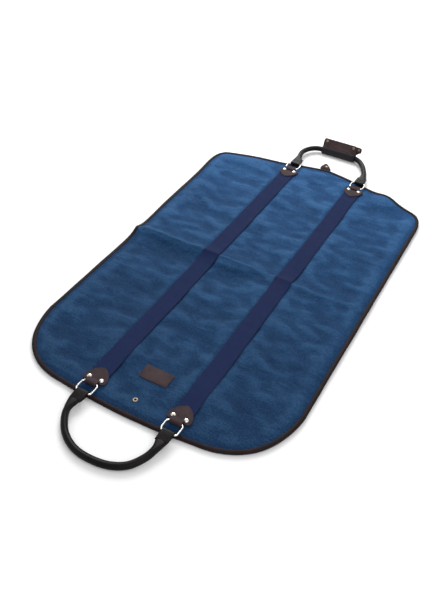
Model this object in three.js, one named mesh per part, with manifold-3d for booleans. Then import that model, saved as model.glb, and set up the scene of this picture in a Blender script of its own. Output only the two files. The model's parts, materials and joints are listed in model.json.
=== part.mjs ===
// Garment bag lying flat, back face up: waxed canvas, leather trim, webbing straps,
// rolled handles on metal rings. Millimetres, +Z up. X runs across the bag, Y along it.
// It is drawn about the fold line, then moved so that the origin is on the floor under the
// middle of the whole object; +Y is the shoulder end.
import * as THREE from 'three';
import { mergeVertices } from 'three/addons/utils/BufferGeometryUtils.js';
import Module from 'manifold-3d';

const wasm = await Module();
wasm.setup();

// ---- driving dimensions ------------------------------------------------------
const BAG = { halfWidth: 301, hemY: -502, shoulderY: 520, foldGap: 0.4 };
const HEM = { cornerX: 150, cornerY: -494, pullX: 285, pullY: -486, sideY: -335 };
const SHOULDER = [[301, 372], [297, 402], [288, 424], [268, 441], [192, 471], [120, 492], [57, 510]];
const BINDING = { width: 8, top: 11.2 };
const MIDDLE_Y = 5.6;                                // middle of the whole length, from the fold
const GAP = 0.3;                                     // clearance between touching pieces
const BACK = { bottom: 9.8, top: 11.2 };             // upper cloth layer
const FRONT = { bottom: 3.4, top: 4.6, zipGap: 14 }; // lower cloth layer, split by the zip
const STRAP = { x: [-91, 100], width: 40, bottom: 11.5, top: 13.2, endY: [-466, 455] };
const CHAPE = { bottom: 13.5, top: 15.5, width: 52, tip: 32, base: 9.5, neck: 26 };
const RIVET = { x: 14, radius: 4.8, height: 2.2 };
const RING = { width: 38, length: 30, wire: 3.6, corner: 7 };
const ENDS = { near: { rivetY: -459, out: -1 }, far: { rivetY: 448, out: 1 } };
const BAR = { chape: 14.5, handle: 40.5, z: 16, hole: 2.6, loop: 4.4 };
const HANDLE = { radius: 7, tabWidth: 26, tabThick: 5, tabLength: 36 };
const ZIP = { tapeIn: 0.8, tapeOut: 24, teethOut: 3, tapeBottom: 2.6, tapeTop: 3.1, teethTop: 3.7,
  startY: 1, endY: [-470, 440], sliderY: 10, sliderHalf: 6 };
const WRAP = { x: -9.5, length: 100, y: 615.4, z: 12, inner: 9.5, outer: 11.5, mouth: 4.5, tilt: 0.5 };
const FLAP = { length: 100, height: 22, thick: 2, studDown: 7, studIn: 9.5,
  near: { shift: -1, lean: 0.5, side: -1 }, far: { shift: 13, lean: 0.25, side: 1 } };
const EYELET = { x: 4, y: -463, outer: 5.5, hole: 2.4, barrel: 3.0 };
const LABEL = { x: 6, y: -391, width: 64, length: 36, thick: 1.2 };
const TAB = { x: -11, width: 31, length: 20, y: 521.2, bottom: 9.9, thick: 2, studRadius: 3.4, studUp: 8 };
const HANGER_SLOT = { half: 25, bottom: 4.9, top: 9.6 };

// ---- materials ---------------------------------------------------------------
const finish = (color, roughness, metalness = 0) =>
  new THREE.MeshStandardMaterial({ color, roughness, metalness });
const canvas = () => finish(0x3a5f8e, 0.8);
const leather = () => finish(0x43352f, 0.6);
const darkLeather = () => finish(0x2c2624, 0.5);
const webbing = () => finish(0x23284f, 0.85);
const nickel = () => finish(0xd9d9d6, 0.25, 1);
const brass = () => finish(0x9a8560, 0.4, 1);
const tape = () => finish(0x20243c, 0.9);

const bag = new THREE.Group();
function place(name, geometry, material) {
  const mesh = new THREE.Mesh(geometry, material);
  mesh.name = name;
  bag.add(mesh);
  return mesh;
}

// ---- solids and booleans -----------------------------------------------------
function solid(geometry) {
  const bare = geometry.clone();
  bare.deleteAttribute('normal');
  bare.deleteAttribute('uv');
  const merged = mergeVertices(bare, 1e-4);
  return new wasm.Manifold(new wasm.Mesh({
    numProp: 3,
    vertProperties: new Float32Array(merged.attributes.position.array),
    triVerts: new Uint32Array(merged.index.array),
  }));
}

function geometryOf(body) {
  const mesh = body.getMesh();
  const geometry = new THREE.BufferGeometry();
  geometry.setAttribute('position', new THREE.BufferAttribute(new Float32Array(mesh.vertProperties), 3));
  geometry.setIndex(new THREE.BufferAttribute(new Uint32Array(mesh.triVerts), 1));
  geometry.computeVertexNormals();
  return geometry;
}

const join = (...parts) => geometryOf(parts.map(solid).reduce((a, b) => a.add(b)));
const cut = (from, ...tools) => geometryOf(tools.map(solid).reduce((a, b) => a.subtract(b), solid(from)));

function slab(points, bottom, top) {
  const shape = new THREE.Shape(points.map(([x, y]) => new THREE.Vector2(x, y)));
  const geometry = new THREE.ExtrudeGeometry(shape, { depth: top - bottom, bevelEnabled: false });
  return geometry.translate(0, 0, bottom);
}

function box(x0, x1, y0, y1, z0, z1) {
  const geometry = new THREE.BoxGeometry(x1 - x0, y1 - y0, z1 - z0);
  return geometry.translate((x0 + x1) / 2, (y0 + y1) / 2, (z0 + z1) / 2);
}

function lathe(profile, x, y, z, segments = 16) {
  const geometry = new THREE.LatheGeometry(profile.map(([r, h]) => new THREE.Vector2(r, h)), segments);
  return geometry.rotateX(Math.PI / 2).translate(x, y, z);
}

// A tube lying along X, used for rolled-over leather ends; the profile is drawn in Y and Z.
function profileAlongX(shape, x, width, curveSegments = 8) {
  const geometry = new THREE.ExtrudeGeometry(shape, { depth: width, bevelEnabled: false, curveSegments });
  return geometry.rotateZ(Math.PI / 2).rotateY(Math.PI / 2).translate(x - width / 2, 0, 0);
}

// ---- outline of the bag ------------------------------------------------------
// Each half is drawn from the fold on the right, round its end, to the fold on the left.
function hemOutline() {
  const corner = new THREE.QuadraticBezierCurve(
    new THREE.Vector2(BAG.halfWidth, HEM.sideY),
    new THREE.Vector2(HEM.pullX, HEM.pullY),
    new THREE.Vector2(HEM.cornerX, HEM.cornerY));
  const edge = new THREE.QuadraticBezierCurve(
    new THREE.Vector2(HEM.cornerX, HEM.cornerY),
    new THREE.Vector2(HEM.cornerX / 2, BAG.hemY),
    new THREE.Vector2(0, BAG.hemY));
  const right = [...corner.getPoints(10), ...edge.getPoints(4).slice(1)];
  return mirrored([[BAG.halfWidth, -BAG.foldGap], ...right.map((p) => [p.x, p.y])]);
}

function shoulderOutline() {
  return mirrored([[BAG.halfWidth, BAG.foldGap], ...SHOULDER, [0, BAG.shoulderY]]);
}

function mirrored(right) {
  return [...right, ...right.slice(0, -1).reverse().map(([x, y]) => [-x, y])];
}

// The outline pulled in by a distance, its two ends staying on the fold.
function inset(outline, distance) {
  const side = Math.sign(outline[Math.floor(outline.length / 2)][1]);
  return outline.map(([x, y], i) => {
    const before = outline[Math.max(i - 1, 0)];
    const after = outline[Math.min(i + 1, outline.length - 1)];
    const along = new THREE.Vector2(after[0] - before[0], after[1] - before[1]).normalize();
    const moved = [x - along.y * distance * side, y + along.x * distance * side];
    const atFold = i === 0 || i === outline.length - 1;
    return atFold ? [moved[0], y] : moved;
  });
}

// ---- cloth panels and binding ------------------------------------------------
function clothHalf(half, outline) {
  const inner = inset(outline, BINDING.width + GAP);
  const end = half === 'near' ? -1 : 1;
  const backCloth = slab(inner, BACK.bottom, BACK.top);
  if (half === 'near') {
    const hole = new THREE.CylinderGeometry(EYELET.barrel + GAP, EYELET.barrel + GAP, 20, 12);
    hole.rotateX(Math.PI / 2).translate(EYELET.x, EYELET.y, BACK.top);
    place('near_back_panel', cut(backCloth, hole), canvas());
  } else {
    place('far_back_panel', backCloth, canvas());
  }
  const frontCloth = slab(inner, FRONT.bottom, FRONT.top);
  const reach = BAG.halfWidth * 2;
  for (const [side, sign] of [['left', -1], ['right', 1]]) {
    const otherSide = sign < 0
      ? box(-FRONT.zipGap, reach, -reach, reach, -5, 20)
      : box(-reach, FRONT.zipGap, -reach, reach, -5, 20);
    place(`${half}_front_panel_${side}`, cut(frontCloth, otherSide), canvas());
  }
  const middle = slab(openAtFold(inset(outline, BINDING.width), end), -1, 20);
  const band = cut(slab(outline, 0, BINDING.top), middle);
  if (half === 'near') {
    place('near_binding', band, leather());
  } else {
    const slot = box(-HANGER_SLOT.half, HANGER_SLOT.half, BAG.shoulderY - 30, BAG.shoulderY + 20,
      HANGER_SLOT.bottom, HANGER_SLOT.top);
    place('far_binding', cut(band, slot), leather());
  }
}

// The inner outline stretched past the fold, so that cutting it away leaves a U-shaped band.
function openAtFold(outline, end) {
  return outline.map(([x, y], i) => (i === 0 || i === outline.length - 1 ? [x, y - end * 5] : [x, y]));
}

clothHalf('near', hemOutline());
clothHalf('far', shoulderOutline());

// ---- webbing straps, chapes, rivets, rings -------------------------------------
STRAP.x.forEach((x, i) => {
  const side = ['left', 'right'][i];
  const half = STRAP.width / 2;
  const strap = (y0, y1) => box(x - half, x + half, y0, y1, STRAP.bottom, STRAP.top);
  place(`near_${side}_strap`, strap(STRAP.endY[0], -BAG.foldGap), webbing());
  place(`far_${side}_strap`, strap(BAG.foldGap, STRAP.endY[1]), webbing());
});

// A loop of leather round a bar, seen from the side: a circle with a hole, at (y, z).
function loopShape(y, z) {
  const shape = new THREE.Shape();
  shape.absarc(y, z, BAR.loop, 0, Math.PI * 2);
  const hole = new THREE.Path();
  hole.absarc(y, z, BAR.hole, 0, Math.PI * 2, true);
  shape.holes.push(hole);
  return shape;
}

function chape(x, end) {
  const y = (d) => end.rivetY + end.out * d;
  const half = CHAPE.width / 2;
  const shield = new THREE.Shape();
  shield.moveTo(x - half, y(0));
  shield.quadraticCurveTo(x - half + 3, y(-CHAPE.tip * 0.75), x, y(-CHAPE.tip));
  shield.quadraticCurveTo(x + half - 3, y(-CHAPE.tip * 0.75), x + half, y(0));
  shield.quadraticCurveTo(x + half, y(CHAPE.base), x + CHAPE.neck / 2, y(CHAPE.base));
  shield.lineTo(x - CHAPE.neck / 2, y(CHAPE.base));
  shield.quadraticCurveTo(x - half, y(CHAPE.base), x - half, y(0));
  const thick = CHAPE.top - CHAPE.bottom;
  const plate = new THREE.ExtrudeGeometry(shield, { depth: thick, bevelEnabled: false, curveSegments: 6 });
  plate.translate(0, 0, CHAPE.bottom);
  const barY = y(BAR.chape);
  const loop = profileAlongX(loopShape(barY, BAR.z), x, CHAPE.neck);
  const ys = [y(CHAPE.base - 3), barY - end.out * (BAR.hole + 0.7)].sort((a, b) => a - b);
  const neck = box(x - CHAPE.neck / 2, x + CHAPE.neck / 2, ys[0], ys[1], CHAPE.bottom, CHAPE.top);
  return join(plate, neck, loop);
}

function rivet(x, y) {
  const base = CHAPE.top + GAP;
  const { radius, height } = RIVET;
  const profile = [[0, 0], [radius, 0], [radius, 0.8], [radius * 0.75, 1.7], [0, height]];
  return lathe(profile, x, y, base, 12);
}

function ring(x, end) {
  const w = RING.width / 2, l = RING.length / 2, c = RING.corner;
  const middleY = end.rivetY + end.out * (BAR.chape + BAR.handle) / 2;
  const frame = (path, w2, l2, r) => {
    path.moveTo(x - w2 + r, middleY - l2);
    path.lineTo(x + w2 - r, middleY - l2);
    path.absarc(x + w2 - r, middleY - l2 + r, r, -Math.PI / 2, 0);
    path.absarc(x + w2 - r, middleY + l2 - r, r, 0, Math.PI / 2);
    path.absarc(x - w2 + r, middleY + l2 - r, r, Math.PI / 2, Math.PI);
    path.absarc(x - w2 + r, middleY - l2 + r, r, Math.PI, Math.PI * 1.5);
    return path;
  };
  const bevel = RING.wire * 0.29;
  const shape = frame(new THREE.Shape(), w - bevel, l - bevel, c - bevel);
  const inner = RING.wire - bevel;
  shape.holes.push(frame(new THREE.Path(), w - inner, l - inner, c - inner));
  const geometry = new THREE.ExtrudeGeometry(shape, {
    depth: RING.wire - 2 * bevel, curveSegments: 4,
    bevelEnabled: true, bevelSegments: 1, bevelSize: bevel, bevelThickness: bevel,
  });
  return geometry.translate(0, 0, BAR.z - RING.wire / 2 + bevel);
}

for (const [half, end] of Object.entries(ENDS)) {
  STRAP.x.forEach((x, i) => {
    const side = ['left', 'right'][i];
    place(`${half}_${side}_chape`, chape(x, end), leather());
    place(`${half}_${side}_rivet_outer`, rivet(x + Math.sign(x) * RIVET.x, end.rivetY), nickel());
    place(`${half}_${side}_rivet_inner`, rivet(x - Math.sign(x) * RIVET.x, end.rivetY), nickel());
    place(`${half}_${side}_ring`, ring(x, end), nickel());
  });
}

// ---- rolled handles ------------------------------------------------------------
// Middle line of a handle: out from the ring bars, round, and back; (x, distance out, z).
const HANDLE_ROUTES = {
  near: [[-93, 66, 14.6], [-93, 84, 12.6], [-84, 106, 10.4], [-62, 132, 8.4], [-30, 150, 7.3], [6, 155, 7.1],
    [44, 150, 7.3], [74, 134, 8.4], [92, 108, 10.4], [99, 84, 12.6], [100, 66, 14.6]],
  far: [[-93, 66, 15.4], [-98, 88, 14.8], [-102, 114, 13.8], [-96, 140, 12.8], [-80, 160, 12.2],
    [-60, 166.6, 12],
    [-36, 167.7, 12], [-9, 168, 12], [18, 167.7, 12], [42, 166.2, 12], [60, 156, 12.3], [78, 132, 13.2],
    [91, 104, 14.4], [98, 84, 15], [100, 66, 15.4]],
};

function handle(route, end) {
  const y = (d) => end.rivetY + end.out * d;
  const curve = new THREE.CatmullRomCurve3(route.map(([x, d, z]) => new THREE.Vector3(x, y(d), z)));
  const section = new THREE.Shape();
  section.absarc(0, 0, HANDLE.radius, 0, Math.PI * 2);
  const roll = new THREE.ExtrudeGeometry(section, { steps: 30, curveSegments: 5, extrudePath: curve });
  const ends = STRAP.x.map((x) => {
    const barY = y(BAR.handle);
    const eye = profileAlongX(loopShape(barY, BAR.z), x, HANDLE.tabWidth);
    const ys = [barY + end.out * (BAR.hole + 0.8), barY + end.out * HANDLE.tabLength].sort((a, b) => a - b);
    const half = HANDLE.tabWidth / 2;
    const halfThick = HANDLE.tabThick / 2;
    const flat = box(x - half, x + half, ys[0], ys[1], BAR.z - halfThick, BAR.z + halfThick);
    return [eye, flat];
  }).flat();
  return join(roll, ...ends);
}

for (const [half, end] of Object.entries(ENDS)) {
  place(`${half}_handle`, handle(HANDLE_ROUTES[half], end), darkLeather());
}

// ---- handle wrap: a leather saddle round the far handle with two snap flaps --------
const mouthAngle = Math.asin(WRAP.mouth / WRAP.outer);
function saddleShape() {
  const start = Math.PI / 2 + mouthAngle - WRAP.tilt, stop = Math.PI * 2.5 - mouthAngle - WRAP.tilt;
  const shape = new THREE.Shape();
  shape.absarc(WRAP.y, WRAP.z, WRAP.outer, start, stop);
  shape.absarc(WRAP.y, WRAP.z, WRAP.inner, stop, start, true);
  return shape;
}
place('wrap_saddle', profileAlongX(saddleShape(), WRAP.x, WRAP.length, 14), darkLeather());

// Each flap stands on one lip of the saddle's mouth and leans towards +Y. A near snap shows on the
// outer face; a far snap, its other half, is on the inner face.
for (const name of ['near', 'far']) {
  const { shift, lean, side } = FLAP[name];
  const angle = Math.PI / 2 - WRAP.tilt - side * mouthAngle;
  const rootRadius = WRAP.outer + 3 * GAP;
  const root = [WRAP.x + shift, WRAP.y + rootRadius * Math.cos(angle), WRAP.z + rootRadius * Math.sin(angle)];
  const plate = box(-FLAP.length / 2, FLAP.length / 2, -FLAP.thick / 2, FLAP.thick / 2, 0, FLAP.height);
  place(`wrap_${name}_flap`, plate.rotateX(-lean).translate(...root), leather());
  [-1, 1].forEach((end, i) => {
    const stud = lathe([[0, 0], [4, 0], [3.6, 0.9], [0, 1.4]], 0, 0, 0, 12);
    const studX = end * (FLAP.length / 2 - FLAP.studIn);
    stud.rotateX(Math.PI / 2).translate(studX, -FLAP.thick / 2 - GAP, FLAP.height - FLAP.studDown);
    place(`wrap_${name}_stud_${['left', 'right'][i]}`, stud.rotateX(-lean).translate(...root), brass());
  });
}

// ---- zip on the underside --------------------------------------------------------
for (const [half, out, last] of [['near', -1, ZIP.endY[0]], ['far', 1, ZIP.endY[1]]]) {
  const ys = [out * ZIP.startY, last].sort((a, b) => a - b);
  for (const [side, sign] of [['left', -1], ['right', 1]]) {
    const strip = (a, b, z0, z1) => {
      const xs = [sign * a, sign * b].sort((p, q) => p - q);
      return box(xs[0], xs[1], ys[0], ys[1], z0, z1);
    };
    const cloth = strip(ZIP.teethOut - 0.5, ZIP.tapeOut, ZIP.tapeBottom, ZIP.tapeTop);
    const teeth = strip(ZIP.tapeIn, ZIP.teethOut, ZIP.tapeBottom, ZIP.teethTop);
    place(`${half}_zip_tape_${side}`, join(cloth, teeth), tape());
  }
  const stopY = last + out * 2.5;
  place(`${half}_zip_stop`, box(-5, 5, stopY - 2, stopY + 2, 2.2, 4.1), nickel());

  const y = out * ZIP.sliderY, h = ZIP.sliderHalf;
  const outerPlate = box(-5.5, 5.5, y - h, y + h, 1.5, 2.2);
  const innerPlate = box(-4.5, 4.5, y - h, y + h, 4.0, 4.6);
  const post = box(-0.4, 0.4, y - 3, y + 3, 2.0, 4.2);
  const lugY = [y + out * (h - 0.5), y + out * (h + 3)].sort((a, b) => a - b);
  const lugs = [-4.6, 4.6].map((x) => box(x - 0.9, x + 0.9, lugY[0], lugY[1], 0.6, 2.2));
  place(`${half}_zip_slider`, join(outerPlate, innerPlate, post, ...lugs), nickel());

  const pullY = [y + out * (h + 0.6), y + out * (h + 30)].sort((a, b) => a - b);
  const plate = box(-3.3, 3.3, pullY[0], pullY[1], 0.4, 1.4);
  place(`${half}_zip_pull`, plate, nickel());
}

// ---- eyelet, label patch, hanger tab ------------------------------------------------
const eyeletProfile = [[EYELET.hole, -2.4], [EYELET.barrel, -2.4], [EYELET.barrel, GAP],
  [EYELET.outer, GAP], [EYELET.outer - 0.6, 1.3], [EYELET.hole + 0.5, 1.3], [EYELET.hole, -2.4]];
place('hem_eyelet', lathe(eyeletProfile, EYELET.x, EYELET.y, BACK.top, 16), brass());

const labelHalf = { x: LABEL.width / 2, y: LABEL.length / 2 };
place('label_patch', box(LABEL.x - labelHalf.x, LABEL.x + labelHalf.x, LABEL.y - labelHalf.y, LABEL.y + labelHalf.y,
  BACK.top + GAP, BACK.top + GAP + LABEL.thick), leather());

function tabShape() {
  const half = TAB.width / 2;
  const shape = new THREE.Shape();
  shape.moveTo(TAB.x - half, TAB.y);
  shape.lineTo(TAB.x + half, TAB.y);
  shape.quadraticCurveTo(TAB.x + half - 2, TAB.y + TAB.length * 0.6, TAB.x, TAB.y + TAB.length);
  shape.quadraticCurveTo(TAB.x - half + 2, TAB.y + TAB.length * 0.6, TAB.x - half, TAB.y);
  return shape;
}
const tabPlate = new THREE.ExtrudeGeometry(tabShape(), { depth: TAB.thick, bevelEnabled: false, curveSegments: 6 });
place('hanger_tab', tabPlate.translate(0, 0, TAB.bottom), leather());
const tabTop = TAB.bottom + TAB.thick + GAP;
place('hanger_tab_stud', lathe([[0, 0], [TAB.studRadius, 0], [TAB.studRadius - 0.6, 1.2], [0, 1.6]],
  TAB.x, TAB.y + TAB.studUp, tabTop, 12), brass());

bag.position.y = -MIDDLE_Y;

export default bag;
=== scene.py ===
"""A garment bag lying on its front: waxed canvas, leather trim, webbing straps, rolled handles.

Shapes are drawn in millimetres about the fold line (x across, y towards the shoulders, z up from
the floor) and turned into the frame's metres by to_row().
"""
import json
import math
import random

import bpy
import numpy as np
from mathutils import Matrix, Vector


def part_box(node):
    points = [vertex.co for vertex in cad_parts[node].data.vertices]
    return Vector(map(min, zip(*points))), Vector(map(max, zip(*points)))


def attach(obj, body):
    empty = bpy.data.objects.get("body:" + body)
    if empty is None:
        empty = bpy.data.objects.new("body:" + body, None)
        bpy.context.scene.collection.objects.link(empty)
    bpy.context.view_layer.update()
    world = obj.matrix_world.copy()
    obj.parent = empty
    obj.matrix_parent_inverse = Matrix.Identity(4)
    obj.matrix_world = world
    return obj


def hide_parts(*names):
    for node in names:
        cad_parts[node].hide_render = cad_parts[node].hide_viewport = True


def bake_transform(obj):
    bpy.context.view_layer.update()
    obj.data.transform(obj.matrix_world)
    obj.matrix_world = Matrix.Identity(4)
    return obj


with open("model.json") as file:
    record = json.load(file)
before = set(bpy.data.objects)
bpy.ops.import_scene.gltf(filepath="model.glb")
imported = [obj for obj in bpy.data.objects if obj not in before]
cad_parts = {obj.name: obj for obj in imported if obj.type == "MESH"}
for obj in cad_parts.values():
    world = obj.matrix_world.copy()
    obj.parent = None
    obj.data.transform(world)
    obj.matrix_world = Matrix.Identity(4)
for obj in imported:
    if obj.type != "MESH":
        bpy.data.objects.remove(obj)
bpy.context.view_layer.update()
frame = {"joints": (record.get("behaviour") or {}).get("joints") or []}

MM = 0.001
joints = {joint["name"]: joint for joint in frame["joints"]}
FOLD_Y = joints["fold_hinge"]["pos_m"][1]


def to_row(points):
    """Millimetres about the fold line to metres in the row frame."""
    return np.asarray(points, float) * MM + np.array([0, FOLD_Y, 0])


def node_box(name):
    """A CAD node's two corners in millimetres about the fold line."""
    low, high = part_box(name)
    shift = np.array([0, FOLD_Y, 0])
    return (np.array(low) - shift) / MM, (np.array(high) - shift) / MM


def middle_of(name):
    low, high = node_box(name)
    return (low + high) / 2


def joint_at(name):
    """A joint's place in millimetres about the fold line."""
    return (np.array(joints[name]["pos_m"]) - np.array([0, FOLD_Y, 0])) / MM


# ---- sizes shared with the CAD model, most of them read from the frame ------------------------
HALF_WIDTH = node_box("near_binding")[1][0]
HEM_Y = node_box("near_binding")[0][1]
SHOULDER_Y = node_box("far_binding")[1][1]
CLOTH_TOP = node_box("near_back_panel")[1][2]
STRAP_TOP = node_box("near_left_strap")[1][2]
STRAP_X = [middle_of(f"near_{side}_strap")[0] for side in ("left", "right")]
STRAP_HALF = (node_box("near_left_strap")[1][0] - node_box("near_left_strap")[0][0]) / 2
CHAPE_TOP = 15.5
BAR_Z = joint_at("near_left_ring_hinge")[2]
ENDS = {"near": -1, "far": 1}
RIVET_Y = {half: middle_of(f"{half}_left_rivet_inner")[1] for half in ENDS}
CHAPE_BAR = 14.5                # from the rivets to the ring's bar that the chape holds
HANDLE_BAR = 40.5               # and to the bar that the handle holds
FOLD_BEND = 16                  # the blend given to the cloth, binding and straps at the fold; add_piece only bakes them in place
ZIP_BEND = 2.5                  # the blend given to the zip between its two sliders; add_piece only bakes it in place
CLOTH_THICK = 1.1


# ---- camera ----------------------------------------------------------------------------
def add_camera():
    azimuth, elevation, roll = math.radians(26.59), math.radians(41.39), math.radians(3.18)
    back = np.array([math.sin(azimuth) * math.cos(elevation), -math.cos(azimuth) * math.cos(elevation),
                     math.sin(elevation)])
    level = np.array([math.cos(azimuth), math.sin(azimuth), 0])
    upright = np.cross(back, level)
    right = math.cos(roll) * level + math.sin(roll) * upright
    up = -math.sin(roll) * level + math.cos(roll) * upright
    place = to_row([537.7, -1194.0, 1062.3])
    camera = bpy.data.objects.new("camera", bpy.data.cameras.new("camera"))
    camera.data.lens = 43.14
    camera.data.sensor_width = 36
    camera.data.clip_start = 0.05
    camera.matrix_world = Matrix([[*row, place[i]] for i, row in enumerate(np.array([right, up, back]).T)]
                                 + [[0, 0, 0, 1]])
    bpy.context.scene.collection.objects.link(camera)
    bpy.context.scene.camera = camera


add_camera()


# ---- materials ---------------------------------------------------------------------------
class Surface:
    """A node material with one Principled shader, built up by short calls."""

    def __init__(self, name, **sockets):
        self.material = bpy.data.materials.new(name)
        self.material.use_nodes = True
        self.tree = self.material.node_tree
        self.shader = self.tree.nodes["Principled BSDF"]
        for socket, value in sockets.items():
            self.shader.inputs[socket.replace("_", " ")].default_value = value
        self.rest = self.make("ShaderNodeAttribute", attribute_name="rest").outputs["Vector"]

    def make(self, kind, **settings):
        node = self.tree.nodes.new(kind)
        for key, value in settings.items():
            setattr(node, key, value)
        return node

    def link(self, value, socket):
        if isinstance(value, bpy.types.NodeSocket):
            self.tree.links.new(value, socket)
        else:
            socket.default_value = value

    def stretch(self, x, y):
        """The rest position scaled along x and y; less than 1 draws a pattern out."""
        node = self.make("ShaderNodeMapping")
        self.link(self.rest, node.inputs["Vector"])
        node.inputs["Scale"].default_value = (x, y, 1)
        return node.outputs["Vector"]

    def noise(self, scale, detail=3, roughness=0.55, distortion=0, vector=None):
        node = self.make("ShaderNodeTexNoise")
        self.link(vector or self.rest, node.inputs["Vector"])
        node.inputs["Scale"].default_value = scale
        node.inputs["Detail"].default_value = detail
        node.inputs["Roughness"].default_value = roughness
        node.inputs["Distortion"].default_value = distortion
        return node.outputs["Fac"]

    def cells(self, scale):
        node = self.make("ShaderNodeTexVoronoi", feature="DISTANCE_TO_EDGE")
        self.link(self.rest, node.inputs["Vector"])
        node.inputs["Scale"].default_value = scale
        return node.outputs["Distance"]

    def ramp(self, value, *stops):
        node = self.make("ShaderNodeValToRGB")
        self.link(value, node.inputs["Fac"])
        elements = node.color_ramp.elements
        while len(elements) < len(stops):
            elements.new(0.5)
        for element, (position, colour) in zip(elements, stops):
            element.position = position
            element.color = (*colour, 1) if len(colour) == 3 else (colour[0],) * 3 + (1,)
        return node.outputs["Color"]

    def maths(self, operation, a, b=0.0, c=0.0):
        node = self.make("ShaderNodeMath", operation=operation)
        for value, socket in zip((a, b, c), node.inputs):
            self.link(value, socket)
        return node.outputs[0]

    def mix(self, factor, a, b, blend="MIX"):
        node = self.make("ShaderNodeMix", data_type="RGBA", blend_type=blend)
        for value, socket in ((factor, node.inputs[0]), (a, node.inputs[6]), (b, node.inputs[7])):
            self.link(value if not isinstance(value, tuple) else (*value, 1), socket)
        return node.outputs[2]

    def axis(self, name):
        node = self.make("ShaderNodeSeparateXYZ")
        self.link(self.rest, node.inputs[0])
        return node.outputs[name]

    def ribs(self, axis, pitch):
        """A sine along one axis, one wave per pitch in metres, from -1 to 1."""
        return self.maths("SINE", self.maths("MULTIPLY", self.axis(axis), math.tau / pitch))

    def colour(self, value):
        self.link(value, self.shader.inputs["Base Color"])

    def roughness(self, value, low, high):
        node = self.make("ShaderNodeMapRange")
        self.link(value, node.inputs["Value"])
        node.inputs["To Min"].default_value = low
        node.inputs["To Max"].default_value = high
        self.link(node.outputs["Result"], self.shader.inputs["Roughness"])

    def bump(self, *layers):
        """Each layer is (height, depth in metres, strength)."""
        normal = None
        for height, depth, strength in layers:
            node = self.make("ShaderNodeBump")
            node.inputs["Distance"].default_value = depth
            node.inputs["Strength"].default_value = strength
            self.link(height, node.inputs["Height"])
            if normal:
                self.link(normal, node.inputs["Normal"])
            normal = node.outputs["Normal"]
        self.link(normal, self.shader.inputs["Normal"])


def canvas_material():
    """Waxed canvas: hand-sized fading and streaks across the bag; painted shade makes it darker towards the
    near end and in hollows, and crests and thin ridge lines are pale, part wear and part painted highlight.
    """
    s = Surface("waxed_canvas", Specular_IOR_Level=0.06)
    crest = s.make("ShaderNodeAttribute", attribute_name="crest").outputs["Fac"]
    clouds = s.noise(6, 5, 0.62, 0.4, s.stretch(0.7, 1.3))
    streaks = s.noise(34, 8, 0.78, 0.8, s.stretch(0.30, 1.5))
    fine = s.noise(150, 4, 0.8, 0, s.stretch(0.5, 1.5))
    # the mid tone darkens towards the near end: painted shade for light that comes from behind the bag
    along = s.maths("MULTIPLY_ADD", s.axis("Y"), 0.95, 0.5)
    mid = s.ramp(along, (0.0, (0.0072, 0.0282, 0.074)), (0.45, (0.0092, 0.0385, 0.101)),
                 (1.0, (0.0142, 0.0600, 0.160)))
    deep = s.mix(1.0, mid, (0.42, 0.55, 0.61), "MULTIPLY")
    pale = s.mix(1.0, mid, (2.9, 2.1, 1.75), "MULTIPLY")
    tone = s.maths("MULTIPLY_ADD", clouds, 0.30, s.maths("MULTIPLY", streaks, 0.42))
    tone = s.maths("MULTIPLY_ADD", fine, 0.28, tone)
    # crest lifts crests towards pale, part wear and part painted highlight, and sinks hollows towards deep as
    # painted shade
    tone = s.maths("MULTIPLY_ADD", crest, 0.060, tone)
    base = s.mix(s.ramp(tone, (0.32, (0.0,)), (0.50, (1.0,))), deep, mid)
    base = s.mix(s.ramp(tone, (0.50, (0.0,)), (0.70, (1.0,))), base, pale)
    # thin pale ridge lines across the bag, also bumped: part wear, part painted highlight along wrinkles
    wrinkle = s.noise(17, 4, 0.55, 1.6, s.stretch(0.32, 2.2))
    ridge = s.ramp(wrinkle, (0.470, (0.0,)), (0.5, (1.0,)), (0.515, (0.0,)))
    patchy = s.ramp(s.noise(9, 3), (0.48, (0.0,)), (0.64, (0.55,)))
    lines = s.maths("MULTIPLY", ridge, patchy)
    base = s.mix(lines, base, pale)
    grain = s.noise(330, 3, 0.8)
    base = s.mix(s.ramp(grain, (0.34, (0.70,)), (0.5, (0.0,))), base, deep)
    base = s.mix(s.ramp(grain, (0.50, (0.0,)), (0.68, (0.50,))), base, pale)
    s.colour(base)
    s.roughness(clouds, 0.62, 0.86)
    weave = s.maths("MULTIPLY", s.ribs("X", 0.0011), s.ribs("Y", 0.0011))
    s.bump((lines, 0.0012, 0.6), (fine, 0.0014, 0.6), (weave, 0.00015, 0.5))
    return s.material


def webbing_material():
    s = Surface("navy_webbing", Specular_IOR_Level=0.1)
    diagonal = s.maths("ADD", s.ribs("X", 0.0016), s.ribs("Y", 0.0024))
    shade = s.ramp(s.maths("MULTIPLY_ADD", diagonal, 0.25, 0.5), (0.2, (0.0050, 0.0120, 0.045)),
                   (0.85, (0.0115, 0.0240, 0.088)))
    fade = s.ramp(s.noise(16, 4), (0.35, (0.0,)), (0.7, (0.5,)))
    s.colour(s.mix(fade, shade, (0.0130, 0.0160, 0.060)))
    s.roughness(s.noise(60), 0.7, 0.92)
    s.bump((diagonal, 0.00035, 0.7), (s.noise(500, 2), 0.0002, 0.4))
    return s.material


def leather_material(name, dark, light, low, high, gloss):
    """Pebbled leather between two colours, rubbed pale on its edges; low and high bound its roughness."""
    s = Surface(name, Specular_IOR_Level=gloss)
    mottling = s.noise(38, 5, 0.6, 0.4)
    base = s.mix(s.ramp(mottling, (0.3, (0.0,)), (0.72, (1.0,))), dark, light)
    worn = s.make("ShaderNodeNewGeometry").outputs["Pointiness"]
    rubbed = tuple(1.8 * c + 0.006 for c in light)
    base = s.mix(s.ramp(worn, (0.52, (0.0,)), (0.62, (0.7,))), base, rubbed)
    s.colour(base)
    s.roughness(s.noise(90, 4), low, high)
    s.bump((s.cells(900), 0.0003, 0.45), (s.noise(220, 4), 0.0005, 0.35))
    return s.material


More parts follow.
